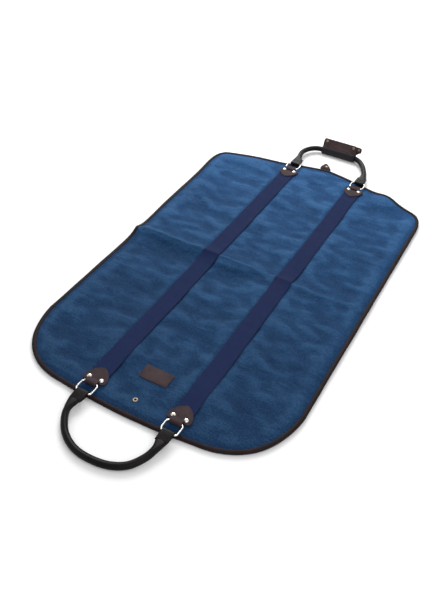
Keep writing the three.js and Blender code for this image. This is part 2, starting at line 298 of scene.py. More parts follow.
def metal_material(name, colour, tarnish, low, high):
    s = Surface(name, Metallic=1.0)
    stain = s.ramp(s.noise(160, 4, 0.6), (0.45, (0.0,)), (0.8, (0.6,)))
    s.colour(s.mix(stain, colour, tarnish))
    s.roughness(s.noise(420, 3), low, high)
    s.bump((s.noise(900, 2), 0.00005, 0.25))
    return s.material


def tape_material():
    s = Surface("zip_tape", Specular_IOR_Level=0.2)
    twill = s.maths("MULTIPLY", s.ribs("X", 0.0009), s.ribs("Y", 0.0014))
    shade = s.maths("MULTIPLY_ADD", twill, 0.5, 0.5)
    s.colour(s.ramp(shade, (0.1, (0.006, 0.009, 0.024)), (0.9, (0.016, 0.022, 0.052))))
    s.roughness(s.noise(200), 0.75, 0.95)
    s.bump((twill, 0.0002, 0.6))
    return s.material


def thread_material(name, colour):
    s = Surface(name, Specular_IOR_Level=0.3)
    s.colour(s.mix(s.noise(800), colour, tuple(c * 0.5 for c in colour)))
    s.roughness(s.noise(300), 0.55, 0.8)
    s.bump((s.ribs("Y", 0.0006), 0.0001, 0.5))
    return s.material


CANVAS = canvas_material()
WEBBING = webbing_material()
TRIM = leather_material("trim_leather", (0.0220, 0.0128, 0.0146), (0.047, 0.0280, 0.0315),
                        0.48, 0.66, 0.08)
# the flaps get a lighter copy of the trim leather: painted light, since they face away from the key light
FLAP = leather_material("flap_leather_painted_lighter", (0.034, 0.0195, 0.0210), (0.068, 0.0420, 0.0440),
                        0.48, 0.66, 0.15)
HANDLE = leather_material("handle_leather", (0.0026, 0.0019, 0.0022), (0.0072, 0.0053, 0.0058),
                          0.30, 0.46, 0.1)
BINDING = leather_material("binding_leather", (0.0060, 0.0030, 0.0038), (0.0150, 0.0070, 0.0082),
                           0.5, 0.7, 0.1)
WRAP_DARK = leather_material("wrap_leather", (0.0070, 0.0058, 0.0070), (0.0135, 0.0110, 0.0135),
                             0.42, 0.6, 0.18)
NICKEL = metal_material("nickel", (0.80, 0.78, 0.74), (0.52, 0.48, 0.42), 0.14, 0.32)
BRASS = metal_material("antique_brass", (0.27, 0.21, 0.15), (0.09, 0.065, 0.045), 0.3, 0.5)
TAPE = tape_material()
THREAD = thread_material("brown_thread", (0.022, 0.013, 0.011))
NAVY_THREAD = thread_material("navy_thread", (0.011, 0.015, 0.055))
DARK = thread_material("inside_shadow", (0.006, 0.007, 0.009))


# ---- mesh helpers ----------------------------------------------------------------------------
def add_piece(name, points, faces, material, body=None, blend=None, replaces=(), slot=None, crest=None):
    """A mesh piece from points in millimetres; it rides on a body, or with a blend it is left in place
    without a parent.
    """
    mesh = bpy.data.meshes.new(name)
    placed = to_row(points)
    mesh.from_pydata(placed.tolist(), [], faces)
    rest = mesh.attributes.new("rest", "FLOAT_VECTOR", "POINT")
    rest.data.foreach_set("vector", placed.astype(np.float32).ravel())
    if crest is not None:
        # crest heights, which the canvas paints pale on crests (part wear, part painted highlight) and dark
        # in hollows (painted shade)
        wear_highlight_and_shade = mesh.attributes.new("crest", "FLOAT", "POINT")
        wear_highlight_and_shade.data.foreach_set("value", crest.astype(np.float32))
    mesh.shade_smooth()
    mesh.materials.append(material)
    piece = bpy.data.objects.new(name, mesh)
    bpy.context.scene.collection.objects.link(piece)
    if isinstance(blend, dict):
        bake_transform(piece)
    elif blend:
        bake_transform(piece)
    else:
        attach(piece, body)
    if replaces:
        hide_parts(*replaces)
    return piece


class Parts:
    """Collects several solids into one mesh; each face remembers its material."""

    def __init__(self):
        self.points, self.faces, self.marks, self.count = [], [], [], 0

    def add(self, points, faces, material=0):
        self.points.append(np.asarray(points, float))
        self.faces += [[i + self.count for i in face] for face in faces]
        self.marks += [material] * len(faces)
        self.count += len(points)
        return self

    def piece(self, name, materials, **how):
        made = add_piece(name, np.vstack(self.points), self.faces, materials[0], **how)
        for extra in materials[1:]:
            made.data.materials.append(extra)
        if len(materials) > 1:
            made.data.polygons.foreach_set("material_index", self.marks)
        return made


def grid_faces(rows, columns, wrap_rows=False, wrap_columns=False):
    """Four-cornered faces over a grid of points; wrapping joins its last row or column to its first."""
    faces = []
    for r in range(rows if wrap_rows else rows - 1):
        for c in range(columns if wrap_columns else columns - 1):
            r1, c1 = (r + 1) % rows, (c + 1) % columns
            faces.append([r * columns + c, r * columns + c1, r1 * columns + c1, r1 * columns + c])
    return faces


def normals_of(points):
    across = np.gradient(points, axis=1)
    along = np.gradient(points, axis=0)
    normal = np.cross(across, along)
    return normal / np.maximum(np.linalg.norm(normal, axis=2, keepdims=True), 1e-9)


def grid_solid(points, thickness):
    """A sheet with its outer side at points[rows, columns], given a thickness, closed all round."""
    rows, columns, _ = points.shape
    inner = points - normals_of(points) * thickness
    faces = grid_faces(rows, columns)
    count = rows * columns
    faces += [[i + count for i in reversed(face)] for face in grid_faces(rows, columns)]
    rim = [(r, 0) for r in range(rows - 1, 0, -1)] + [(0, c) for c in range(columns - 1)]
    rim += [(r, columns - 1) for r in range(rows - 1)] + [(rows - 1, c) for c in range(columns - 1, 0, -1)]
    ring = [r * columns + c for r, c in rim]
    for a, b in zip(ring, ring[1:] + ring[:1]):
        faces.append([b, a, a + count, b + count])
    return np.vstack([points.reshape(-1, 3), inner.reshape(-1, 3)]), faces


def sweep(path, sections, closed=False, side=None):
    """Sections (pairs of side and up offsets) carried along a path; a fixed side vector suits loops."""
    path = np.asarray(path, float)
    if closed:
        tangent = np.roll(path, -1, 0) - np.roll(path, 1, 0)
    else:
        tangent = np.gradient(path, axis=0)
    tangent /= np.maximum(np.linalg.norm(tangent, axis=1, keepdims=True), 1e-9)
    sides = np.cross(tangent, (0, 0, 1)) if side is None else np.tile(np.asarray(side, float), (len(path), 1))
    sides = sides / np.linalg.norm(sides, axis=1, keepdims=True)
    ups = np.cross(sides, tangent)
    sections = np.asarray(sections, float)
    if sections.ndim == 2:
        sections = np.tile(sections, (len(path), 1, 1))
    points = path[:, None] + sides[:, None] * sections[:, :, :1] + ups[:, None] * sections[:, :, 1:]
    rows, columns = sections.shape[:2]
    faces = [face[::-1] for face in grid_faces(rows, columns, closed, True)]
    if not closed:
        faces += [list(range(columns)), [(rows - 1) * columns + c for c in reversed(range(columns))]]
    return points.reshape(-1, 3), faces


def oval(half_width, half_height, count=16, power=2.0):
    """A round or squared-off section: power 2 is an ellipse, more is boxier."""
    angles = np.linspace(0, math.tau, count, endpoint=False)
    c, s = np.cos(angles), np.sin(angles)
    return np.stack([half_width * np.sign(c) * np.abs(c) ** (2 / power),
                     half_height * np.sign(s) * np.abs(s) ** (2 / power)], 1)


def spline(points, count):
    """A smooth curve through the points, evenly spaced."""
    points = np.asarray(points, float)
    padded = np.vstack([2 * points[0] - points[1], points, 2 * points[-1] - points[-2]])
    pieces = []
    for p0, p1, p2, p3 in zip(padded, padded[1:], padded[2:], padded[3:]):
        t = np.linspace(0, 1, 24, endpoint=False)[:, None]
        pieces.append(0.5 * (2 * p1 + (p2 - p0) * t + (2 * p0 - 5 * p1 + 4 * p2 - p3) * t ** 2
                             + (3 * p1 - p0 - 3 * p2 + p3) * t ** 3))
    return resample(np.vstack(pieces + [points[-1:]]), count)


def resample(dense, count, closed=False):
    """Evenly spaced points on a line; a closed line ends where it started, and that point goes."""
    length = np.concatenate([[0], np.cumsum(np.linalg.norm(np.diff(dense, axis=0), axis=1))])
    at = np.linspace(0, length[-1], count + 1)[:-1] if closed else np.linspace(0, length[-1], count)
    return np.stack([np.interp(at, length, dense[:, k]) for k in range(dense.shape[1])], 1)


def lathe(profile, centre, axis=(0, 0, 1), segments=40):
    """A turned shape from (radius, height) pairs; it starts and ends on the axis or closes on itself."""
    axis = np.asarray(axis, float) / np.linalg.norm(axis)
    helper = np.array([1, 0, 0]) if abs(axis[0]) < 0.9 else np.array([0, 1, 0])
    u = np.cross(axis, helper)
    u /= np.linalg.norm(u)
    v = np.cross(axis, u)
    angles = np.linspace(0, math.tau, segments, endpoint=False)
    points, faces = [], []
    rings = []
    for radius, height in profile:
        base = np.asarray(centre, float) + axis * height
        if radius < 1e-6:
            rings.append([len(points)])
            points.append(base)
            continue
        rings.append(list(range(len(points), len(points) + segments)))
        points += [base + radius * (math.cos(a) * u + math.sin(a) * v) for a in angles]
    on_axis = profile[0][0] < 1e-6
    for lower, upper in zip(rings, rings[1:] + ([] if on_axis else rings[:1])):
        for i in range(segments):
            j = (i + 1) % segments
            if len(lower) == 1:
                faces.append([lower[0], upper[j], upper[i]])
            elif len(upper) == 1:
                faces.append([lower[i], lower[j], upper[0]])
            else:
                faces.append([lower[i], lower[j], upper[j], upper[i]])
    return np.array(points), [face[::-1] for face in faces]


def inset_loop(outline, distance):
    before, after = np.roll(outline, 1, 0), np.roll(outline, -1, 0)
    along = after - before
    along /= np.linalg.norm(along, axis=1, keepdims=True)
    return outline + np.stack([-along[:, 1], along[:, 0]], 1) * distance


def rounded_plate(outline, bottom, thickness, edge=0.7, dome=0.0, lift=None):
    """A flat piece with softened edges: outline runs anticlockwise; dome raises its middle."""
    outline = np.asarray(outline, float)
    centre = outline.mean(0)
    levels = [(edge * 0.8, 0.0), (edge * 0.2, thickness * 0.18), (0, thickness * 0.5),
              (edge * 0.2, thickness * 0.82), (edge * 0.7, thickness * 0.97), (edge * 1.8, thickness)]
    loops = [np.column_stack([inset_loop(outline, d), np.full(len(outline), bottom + h)]) for d, h in levels]
    flat = inset_loop(outline, edge * 1.8)
    for share in (0.75, 0.5, 0.25):
        ring = centre + (flat - centre) * share
        height = bottom + thickness + dome * (1 - share ** 2)
        loops.append(np.column_stack([ring, np.full(len(ring), height)]))
    points = np.vstack(loops + [[[*centre, bottom + thickness + dome]]])
    n = len(outline)
    faces = grid_faces(len(loops), n, False, True)
    top = (len(loops) - 1) * n
    faces += [[top + i, top + (i + 1) % n, len(points) - 1] for i in range(n)]
    faces.append(list(reversed(range(n))))
    if lift is not None:
        points[:, 2] += lift(points[:, 0], points[:, 1])
    return points, faces


def stitch_row(path, pitch=3.6, length=2.4, radius=0.3):
    """Small thread stitches lying along a path."""
    path = np.asarray(path, float)
    total = np.linalg.norm(np.diff(path, axis=0), axis=1).sum()
    count = max(2, int(total / pitch))
    spots = resample(path, count * 2 + 1)
    points, faces = [], []
    rings = [(-0.5, 0.35), (-0.36, 0.95), (0, 1.15), (0.36, 0.95), (0.5, 0.35)]
    for k in range(count):
        middle = spots[2 * k + 1]
        along = spots[2 * k + 2] - spots[2 * k]
        along /= max(np.linalg.norm(along), 1e-9)
        side = np.cross(along, [0, 0, 1.0])
        if np.linalg.norm(side) < 0.1:
            side = np.array([1.0, 0, 0])
        side /= np.linalg.norm(side)
        up = np.cross(side, along)
        base = len(points)
        for offset, size in rings:
            for a in range(6):
                angle = a * math.tau / 6
                points.append(middle + along * offset * length
                              + (side * math.cos(angle) + up * math.sin(angle)) * radius * size)
        faces += [[base + i for i in face[::-1]] for face in grid_faces(len(rings), 6, False, True)]
        faces += [[base + i for i in range(6)], [base + 24 + i for i in reversed(range(6))]]
    return np.array(points), faces


# ---- the bag's outline and surface ---------------------------------------------------------------
def bezier(a, b, c, count):
    t = np.linspace(0, 1, count)[:, None]
    return (1 - t) ** 2 * np.array(a) + 2 * t * (1 - t) * np.array(b) + t ** 2 * np.array(c)


HEM_CORNER, CORNER_PULL = (150.0, -494.0), (285.0, -486.0)
SIDE_END_Y = -335.0
hem_half = np.vstack([bezier((0, HEM_Y), (HEM_CORNER[0] / 2, HEM_Y), HEM_CORNER, 30)[:-1],
                      bezier(HEM_CORNER, CORNER_PULL, (HALF_WIDTH, SIDE_END_Y), 60)])
shoulder_half = spline([(HALF_WIDTH, 330), (HALF_WIDTH, 372), (297, 402), (288, 424), (268, 441), (192, 471),
                        (120, 492), (57, 509), (0, SHOULDER_Y)], 120)
NEAR_TURN = 60                                       # where the hem's corner has turned halfway
NEAR_CORNER = hem_half[NEAR_TURN]
FAR_CORNER = shoulder_half[np.argmin(np.abs(shoulder_half[:, 1] - 438))]
right_half = np.vstack([hem_half, [(HALF_WIDTH, y) for y in np.linspace(-320, 320, 60)], shoulder_half])
outline = resample(np.vstack([right_half, right_half[::-1] * [-1, 1]]), 900, True)


def smoothstep(low, high, value):
    t = np.clip((value - low) / (high - low), 0, 1)
    return t * t * (3 - 2 * t)


def waves(x, y, wavelength, seed, across=1.0):
    """Smooth random hills of about one unit; across above 1 draws them out along x."""
    rng = np.random.default_rng(seed)
    total = np.zeros(np.broadcast(x, y).shape)
    for _ in range(14):
        angle, phase = rng.uniform(0, math.tau, 2)
        size = wavelength * rng.uniform(0.7, 1.5)
        total += np.sin(math.tau * (x / across * math.cos(angle) + y * math.sin(angle)) / size + phase)
    return total / math.sqrt(14)


def edge_distance(x, y):
    flat = np.stack([np.ravel(x), np.ravel(y)], 1)
    nearest = np.concatenate([np.sqrt(((part[:, None] - outline[None, ::2]) ** 2).sum(2)).min(1)
                              for part in np.array_split(flat, max(1, len(flat) // 2000))])
    return nearest.reshape(np.shape(x))


CALM_SPOTS = [(x, y, 46) for x in STRAP_X for y in (-462, 450)]
CALM_SPOTS += [(*middle_of("label_patch")[:2], 44), (*middle_of("hem_eyelet")[:2], 16)]


def calm(x, y):
    """0 where a leather or metal piece lies flat on the cloth, 1 well away from them."""
    still = np.zeros(np.broadcast(x, y).shape)
    for cx, cy, radius in CALM_SPOTS:
        still = np.maximum(still, 1 - smoothstep(0.75, 1.35, np.hypot(x - cx, y - cy) / radius))
    return 1 - still


def lift(x, y):
    """How far the whole bag, edge and all, stands off its flat lie."""
    across = smoothstep(-HALF_WIDTH, HALF_WIDTH, x)
    fold = (11.0 - 9.5 * across) * np.exp(-(np.abs(y + 2) / 20) ** 1.3)
    right_wave = 9.0 * np.exp(-((x - 190) / 30) ** 2) * smoothstep(395, 455, y)
    left_shoulder = 8.0 * smoothstep(110, 230, -x) * smoothstep(300, 420, y)
    left_side = 3.5 * smoothstep(200, 290, -x) * smoothstep(20, 200, y)
    sides = 0.9 * (waves(x, y, 150, 4) + 1) * smoothstep(240, 285, np.abs(x))
    return (fold + right_wave + left_shoulder + left_side + sides) * calm(x, y)


def sway(x, y):
    """The left edge of the far half bulges out a little."""
    return x - 6.0 * smoothstep(130, 300, -x) * smoothstep(-60, 330, y)


def low_shape(x, y, rolling_share=1.0):
    """The gentle part of the upper surface; the straps bridge much of its rolling."""
    left, right = 1 - smoothstep(-120, -60, x), smoothstep(60, 140, x)
    height = 3.4 + 2.2 * left + 1.2 * right
    ridge = height * np.where(y < 0, np.exp(-np.abs(y) / 8), np.exp(-np.abs(y) / 26))
    rolling = 1.6 * waves(x, y, 210, 11, 1.6) + 1.0 * waves(x, y, 95, 12, 1.8)
    return CLOTH_TOP + lift(x, y) + (ridge + rolling * rolling_share + 1.0) * calm(x, y)


def make_creases():
    """Soft ridges and hollows, most of them lying across the bag; (x, y, angle, length, width, height)."""
    rng = random.Random(27)
    creases = []
    for _ in range(190):
        x, y = rng.uniform(-290, 290), rng.uniform(-490, 490)
        steep = rng.random() < 0.2
        angle = math.radians(rng.choice([-1, 1]) * rng.uniform(35, 70) if steep else rng.gauss(-5, 13))
        creases.append((x, y, angle, rng.uniform(26, 100), rng.uniform(3.0, 8.0),
                        rng.choice([-1, 1]) * rng.uniform(0.2, 0.9)))
    for _ in range(26):
        creases.append((rng.uniform(-290, 290), rng.uniform(-120, 460), math.radians(rng.gauss(-6, 10)),
                        rng.uniform(70, 150), rng.uniform(9, 17),
                        rng.choice([-1, 1]) * rng.uniform(1.0, 2.4)))
    creases.append((-10, -50, math.radians(24), 85, 20, -4.2))
    creases.append((34, -74, math.radians(20), 60, 10, 2.0))
    creases.append((10, 62, math.radians(-8), 75, 9, 2.0))
    creases.append((0, 120, math.radians(6), 85, 11, -2.0))
    creases.append((215, -60, math.radians(-10), 70, 16, -2.2))
    return creases


CREASES = make_creases()


def crease_shape(x, y):
    total = np.zeros(np.broadcast(x, y).shape)
    for cx, cy, angle, length, width, height in CREASES:
        along = (x - cx) * math.cos(angle) + (y - cy) * math.sin(angle)
        over = -(x - cx) * math.sin(angle) + (y - cy) * math.cos(angle)
        bend = over - 0.0018 * along ** 2 * math.copysign(1, height)
        total += height * np.exp(-(along / length) ** 2) * np.exp(-(bend / width) ** 2)
    return total


def soften(grid, width):
    """A running mean over 2 * width + 1 cells, both ways, done twice."""
    weights = np.ones(2 * width + 1) / (2 * width + 1)
    for axis in (0, 1, 0, 1):
        pad = [(width, width) if k == axis else (0, 0) for k in (0, 1)]
        grid = np.apply_along_axis(np.convolve, axis, np.pad(grid, pad, "edge"), weights, "valid")
    return grid


def off_straps(x):
    gap = np.minimum(np.abs(x - STRAP_X[0]), np.abs(x - STRAP_X[1])) - STRAP_HALF
    return smoothstep(-2, 9, gap), gap


def cloth_surface(x, y, buckles):
    """The back cloth's upper side: everything added up, and sinking into the binding at its edge."""
    clear, gap = off_straps(x)
    edge = edge_distance(x, y)
    free = clear * calm(x, y)
    creased = crease_shape(x, y) * smoothstep(3, 24, edge) + buckles * smoothstep(8, 40, edge)
    z = low_shape(x, y) + creased * free
    z += 0.5 * waves(x, y, 26, 31, 1.7) * free * smoothstep(6, 30, edge)
    z -= 0.7 * (1 - clear) + 0.5 * np.exp(-(gap / 3.5) ** 2)
    rim = lift(x, y) + 6.6
    return rim + (z - rim) * smoothstep(0, 34, edge - 3) ** 0.8


def crest_of(z):
    """How much each grid point stands above (or below) its surroundings, about -1 to 1."""
    return np.clip((soften(z, 1) - soften(z, 5)) / 0.55, -1.6, 1.6)


ROW_ENDS = (NEAR_CORNER[1], FAR_CORNER[1])


def bag_points(s, y):
    """x and y over the bag: rows run straight across at the fold and bend to the two ends."""
    margin = 3.0                                         # the cloth's edge lies inside the binding
    near_y, far_y = ROW_ENDS
    side = right_half[(right_half[:, 1] >= near_y - 1e-6) & (right_half[:, 1] <= far_y + 1e-6)]
    side = side[np.argsort(side[:, 1])]
    half = np.interp(y, side[:, 1], side[:, 0]) - margin
    hem_part = hem_half[:NEAR_TURN + 1]
    hem_y = np.interp(np.abs(2 * s - 1) * NEAR_CORNER[0], hem_part[:, 0], hem_part[:, 1]) + margin
    far_half = shoulder_half[::-1]
    top_y = np.interp(np.abs(2 * s - 1) * FAR_CORNER[0], far_half[:, 0], far_half[:, 1]) - margin
    near_share = 1 - smoothstep(near_y, near_y + 230, y)
    far_share = smoothstep(far_y - 210, far_y, y)
    x = (2 * s - 1)[None, :] * half[:, None]
    return x, y[:, None] + near_share[:, None] * (hem_y - near_y) + far_share[:, None] * (top_y - far_y)


def row_spacing(rows):
    """Where the rows cross the middle, closer together at the fold."""
    fine = np.array([-9, -6, -4, -2.4, -1.1, 0, 1.1, 2.4, 4, 6, 9.0])
    return np.unique(np.concatenate([np.linspace(ROW_ENDS[0], -13, rows // 2), fine,
                                     np.linspace(13, ROW_ENDS[1], rows // 2)]))


def buckled_cloth(s_fine, y_fine):
    """Heights in millimetres of a slightly over-long sheet held at its edge and along the straps.

    Blender's cloth solver grows the sheet by a quarter of a percent, so it buckles into creases.
    """
    s, rows = np.linspace(0, 1, 121), np.linspace(*ROW_ENDS, 200)
    x, y = bag_points(s, rows)
    z = 0.5 * waves(x, y, 70, 81, 2.0) + 0.4 * waves(x, y, 40, 82, 1.5)
    flat = np.stack([x, y, z], 2).reshape(-1, 3) * MM
    mesh = bpy.data.meshes.new("sheet")
    mesh.from_pydata(flat.tolist(), [], grid_faces(*x.shape))
    sheet = bpy.data.objects.new("sheet", mesh)
    bpy.context.scene.collection.objects.link(sheet)
    clear, _ = off_straps(x)
    held = (clear < 0.1) | (edge_distance(x, y) < 5) | (calm(x, y) < 0.3)
    sheet.vertex_groups.new(name="held").add(np.nonzero(held.ravel())[0].tolist(), 1.0, "REPLACE")
    cloth = sheet.modifiers.new("cloth", "CLOTH")
    settings = cloth.settings
    settings.quality = 6
    settings.mass = 0.25
    settings.tension_stiffness = settings.compression_stiffness = 30
    settings.shear_stiffness = 12
    settings.bending_stiffness = 6
    settings.tension_damping = settings.compression_damping = settings.shear_damping = 8
    settings.air_damping = 3
    settings.vertex_group_mass = "held"
    settings.shrink_min = settings.shrink_max = -0.0025
    settings.effector_weights.gravity = 0.01
    cloth.collision_settings.use_collision = False
    frames = 22
    cloth.point_cache.frame_end = frames
    for frame_number in range(1, frames + 1):
        bpy.context.scene.frame_set(frame_number)
    result = sheet.evaluated_get(bpy.context.evaluated_depsgraph_get()).to_mesh()
    heights = np.empty(len(result.vertices) * 3, np.float32)
    result.vertices.foreach_get("co", heights)
    heights = heights.reshape(*x.shape, 3)[:, :, 2] / MM
    bpy.data.objects.remove(sheet)
    bpy.context.scene.frame_set(1)
    heights = 1.3 * (heights - soften(heights, 9))
    across = np.array([np.interp(s_fine, s, row) for row in heights])
    return np.clip(np.array([np.interp(y_fine, rows, column) for column in across.T]).T, -1.3, 3.2)


def add_cloth():
    s, rows = np.linspace(0, 1, 171), row_spacing(250)
    x, y = bag_points(s, rows)
    z = cloth_surface(x, y, buckled_cloth(s, rows))
    points, faces = grid_solid(np.stack([sway(x, y), y, z], 2), CLOTH_THICK)
    back = add_piece("back_cloth", points, faces, CANVAS, blend=FOLD_BEND, slot="canvas",
                     replaces=("near_back_panel", "far_back_panel"), crest=np.tile(crest_of(z).ravel(), 2))
    for side, start, stop in (("left", 0.0, 0.4766), ("right", 0.5234, 1.0)):
        x, y = bag_points(np.linspace(start, stop, 60), row_spacing(150))
        edge = edge_distance(x, y)
        z = 1.0 + lift(x, y) + (0.9 + 0.7 * waves(x, y, 120, 51)) * smoothstep(5, 40, edge)
        z += 0.35 * waves(x, y, 34, 52, 2.2)
        z = np.maximum(z, 0.4) + 2.6 * (1 - smoothstep(6, 17, edge))
        by_zip = (1 - smoothstep(18, 46, np.abs(x))) * smoothstep(4, 20, edge)
        z += (1.2 - z) * by_zip
        lower = np.stack([sway(x, y), y, z], 2)[:, ::-1]
        points, faces = grid_solid(lower, CLOTH_THICK)
        front = add_piece(f"front_cloth_{side}", points, faces, CANVAS, blend=FOLD_BEND, slot="canvas",
                          replaces=(f"near_front_panel_{side}", f"far_front_panel_{side}"))


def add_binding():
    loop = outline
    inward = inset_loop(loop, 4.4)
    z = 5.0 + lift(inward[:, 0], inward[:, 1])
    path = np.column_stack([sway(*inward.T), inward[:, 1], z])
    angle = np.linspace(0, math.tau, len(loop), endpoint=False)
    wobble = 1 + 0.05 * np.sin(9 * angle + 1) + 0.04 * np.sin(31 * angle + 2)
    sections = oval(4.7, 4.1, 18, 2.7)[None] * np.stack([wobble, np.ones_like(wobble)], 1)[:, None]
    parts = Parts().add(*sweep(path, sections, closed=True))
    row = inset_loop(loop, 7.0)
    seam = np.column_stack([sway(*row.T), row[:, 1], 8.55 + lift(row[:, 0], row[:, 1])])
    parts.add(*stitch_row(np.vstack([seam, seam[:1]]), pitch=5.2, length=3.4, radius=0.36), 1)
    parts.piece("edge_binding", [BINDING, THREAD], blend=FOLD_BEND, slot="trim_leather",
                replaces=("near_binding", "far_binding"))


def add_straps():
    ends = (node_box("near_left_strap")[0][1], node_box("far_left_strap")[1][1])
    y = np.unique(np.concatenate([np.linspace(ends[0], -12, 150), np.linspace(-12, 12, 17),
                                  np.linspace(12, ends[1], 150)]))
    half_way = np.array([0.2, 0.4, 0.6, 0.8, 0.9, 0.97, 1])
    offsets = np.concatenate([-half_way[::-1], [0], half_way]) * STRAP_HALF
    for side, x0 in zip(("left", "right"), STRAP_X):
        drift = 0.7 * np.sin(y / 83 + x0) + 1.3 * np.exp(-(y / 22) ** 2) * (1 if x0 < 0 else -1)
        drift = drift * calm(np.full(len(y), x0), y)
        x = x0 + offsets[None, :] + drift[:, None]
        yy = np.repeat(y[:, None], len(offsets), 1)
        flat = np.abs(offsets) / STRAP_HALF
        rise = low_shape(x0 + offsets[None, :] * 0.35, yy, 0.45)
        z = rise + (STRAP_TOP - CLOTH_TOP) + 0.25 * (1 - flat ** 2) - 0.5 * smoothstep(0.93, 1.0, flat)
        z += 0.28 * waves(x, yy, 40, 61, 1.2) * calm(x, yy)
        parts = Parts().add(*grid_solid(np.stack([x, yy, z], 2), 1.5))
        for sign in (-1, 1):
            at = sign * (STRAP_HALF - 2.6)
            seam = np.column_stack([x0 + at + drift, y, z[:, np.argmin(np.abs(offsets - at))] + 0.06])
            parts.add(*stitch_row(seam, pitch=4.0, length=2.7, radius=0.28), 1)
        parts.piece(f"webbing_strap_{side}", [WEBBING, NAVY_THREAD], blend=FOLD_BEND, slot="webbing",
                    replaces=(f"near_{side}_strap", f"far_{side}_strap"))


add_cloth()
add_binding()
add_straps()


# ---- chapes, rivets and rings ----------------------------------------------------------------------
CHAPE_HALF, CHAPE_TIP, CHAPE_BASE, NECK_HALF = 26.0, 32.0, 9.5, 13.0


def shield_outline(x0, rivet_y, out):
    """A pointed shield: its tip lies towards the fold and its rounded shoulders towards the ring."""
    half = [bezier((0, -CHAPE_TIP), (CHAPE_HALF - 4, -CHAPE_TIP * 0.72), (CHAPE_HALF, 0), 16),
            bezier((CHAPE_HALF, 0), (CHAPE_HALF, CHAPE_BASE), (NECK_HALF + 3, CHAPE_BASE), 9)[1:],
            np.array([(NECK_HALF, CHAPE_BASE), (NECK_HALF * 0.4, CHAPE_BASE)])]
    half = np.vstack(half)
    full = np.vstack([half, half[::-1][:-1] * [-1, 1]])
    points = full * [1, out] + [x0, rivet_y]
    return points if out > 0 else points[::-1]


def loop_ribbon(centre_x, bar_y, bar_z, out, half_width, lead, radius=3.4, thickness=1.9, tail=5.0):
    """Leather that comes in level, rolls round a bar and tucks back underneath."""
    turns = np.linspace(math.pi / 2, -math.pi / 2 - 0.25, 16)
    start = [(bar_y - out * d, bar_z + radius) for d in np.linspace(lead, 1, 5)]
    if lead > 9:
        start = [(yy, zz - 1.9 * smoothstep(2, lead, abs(yy - bar_y))) for yy, zz in start]
    round_bar = [(bar_y + out * radius * math.cos(a), bar_z + radius * math.sin(a)) for a in turns]
    last = round_bar[-1]
    end = [(last[0] - out * d, last[1] + 0.15 * d) for d in np.linspace(1.5, tail, 3)]
    path = np.array([(centre_x, yy, zz) for yy, zz in start + round_bar + end])
    return sweep(path, oval(half_width, thickness / 2, 20, 5.5), side=(1, 0, 0))


def add_chapes():
    for half, out in ENDS.items():
        for side, x0 in zip(("left", "right"), STRAP_X):
            rivet_y = RIVET_Y[half]
            plate_bottom = STRAP_TOP + 0.35
            shape = shield_outline(x0, rivet_y, out)
            parts = Parts().add(*rounded_plate(shape, plate_bottom, CHAPE_TOP - plate_bottom, 0.8, 0.35))
            bar_y = rivet_y + out * CHAPE_BAR
            parts.add(*loop_ribbon(x0, bar_y, BAR_Z - 0.2, out, NECK_HALF, CHAPE_BAR - 3))
            seam = inset_loop(shape, 2.6)
            keep = (seam[:, 1] - rivet_y) * out < CHAPE_BASE - 3.2
            order = np.argsort(np.arctan2(seam[keep, 0] - x0, -(seam[keep, 1] - rivet_y - out * 4) * out))
            line = seam[keep][order]
            path = np.column_stack([line, np.full(len(line), CHAPE_TOP + 0.12)])
            parts.add(*stitch_row(path), 1)
            parts.piece(f"{half}_{side}_strap_end", [TRIM, THREAD], body=f"{half}_half", slot="trim_leather",
                        replaces=(f"{half}_{side}_chape",))


def add_rivets():
    profile = [(0, -0.6), (4.9, -0.6), (5.0, 0.15), (4.75, 0.55), (4.35, 0.62), (4.2, 0.9), (3.4, 1.55),
               (2.2, 2.0), (1.0, 2.2), (0, 2.25)]
    for half in ENDS:
        for side in ("left", "right"):
            for place in ("outer", "inner"):
                name = f"{half}_{side}_rivet_{place}"
                low, high = node_box(name)
                centre = [(low[0] + high[0]) / 2, (low[1] + high[1]) / 2, low[2] - 0.1]
                points, faces = lathe(profile, centre)
                add_piece(f"{name}_cap", points, faces, NICKEL, body=f"{half}_half", slot="nickel",
                          replaces=(name,))


def rounded_rectangle(half_x, half_y, radius, bow, count):
    """A closed loop with rounded corners and sides that bow outwards a little."""
    points = []
    for sx, sy, start in ((1, -1, -90), (1, 1, 0), (-1, 1, 90), (-1, -1, 180)):
        x, y = sx * (half_x - radius), sy * (half_y - radius)
        for a in np.radians(np.linspace(start, start + 90, 9)):
            points.append([x + radius * math.cos(a), y + radius * math.sin(a)])
    loop = resample(np.array(points + points[:1]), count, True)
    loop[:, 0] += bow * np.sign(loop[:, 0]) * np.cos(np.clip(loop[:, 1] / half_y, -1, 1) * math.pi / 2)
    return loop


def add_rings():
    for half in ENDS:
        for side in ("left", "right"):
            name = f"{half}_{side}_ring"
            low, high = node_box(name)
            centre, size = (low + high) / 2, (high - low) / 2
            wire = size[2]
            loop = rounded_rectangle(size[0] - wire, size[1] - wire, 5.5, 0.5, 96) + centre[:2]
            path = np.column_stack([loop, np.full(len(loop), centre[2])])
            points, faces = sweep(path, oval(wire, wire, 20), closed=True)
            add_piece(f"{name}_wire", points, faces, NICKEL, body=name, slot="nickel", replaces=(name,))


add_chapes()
add_rivets()
add_rings()


# ---- rolled handles and their wrap ---------------------------------------------------------------------
HANDLE_ROUTES = {
    "near": [(-93, 62, 15.4), (-93, 84, 12.6), (-84, 106, 10.4), (-62, 132, 8.4), (-30, 150, 7.4),
             (6, 155, 7.2), (44, 150, 7.4), (74, 134, 8.4), (92, 108, 10.4), (99, 84, 12.6), (100, 62, 15.4)],
    "far": [(-93, 62, 15.7), (-98, 88, 14.8), (-102, 114, 13.8), (-96, 140, 12.8), (-80, 160, 12.2),
            (-60, 166.6, 12), (-36, 167.7, 12), (-9, 168, 12), (18, 167.7, 12), (42, 166.2, 12),
            (60, 156, 12.3), (78, 132, 13.2), (91, 104, 14.4), (98, 84, 15), (100, 62, 15.7)],
}
ROLL_RADIUS = 7.0


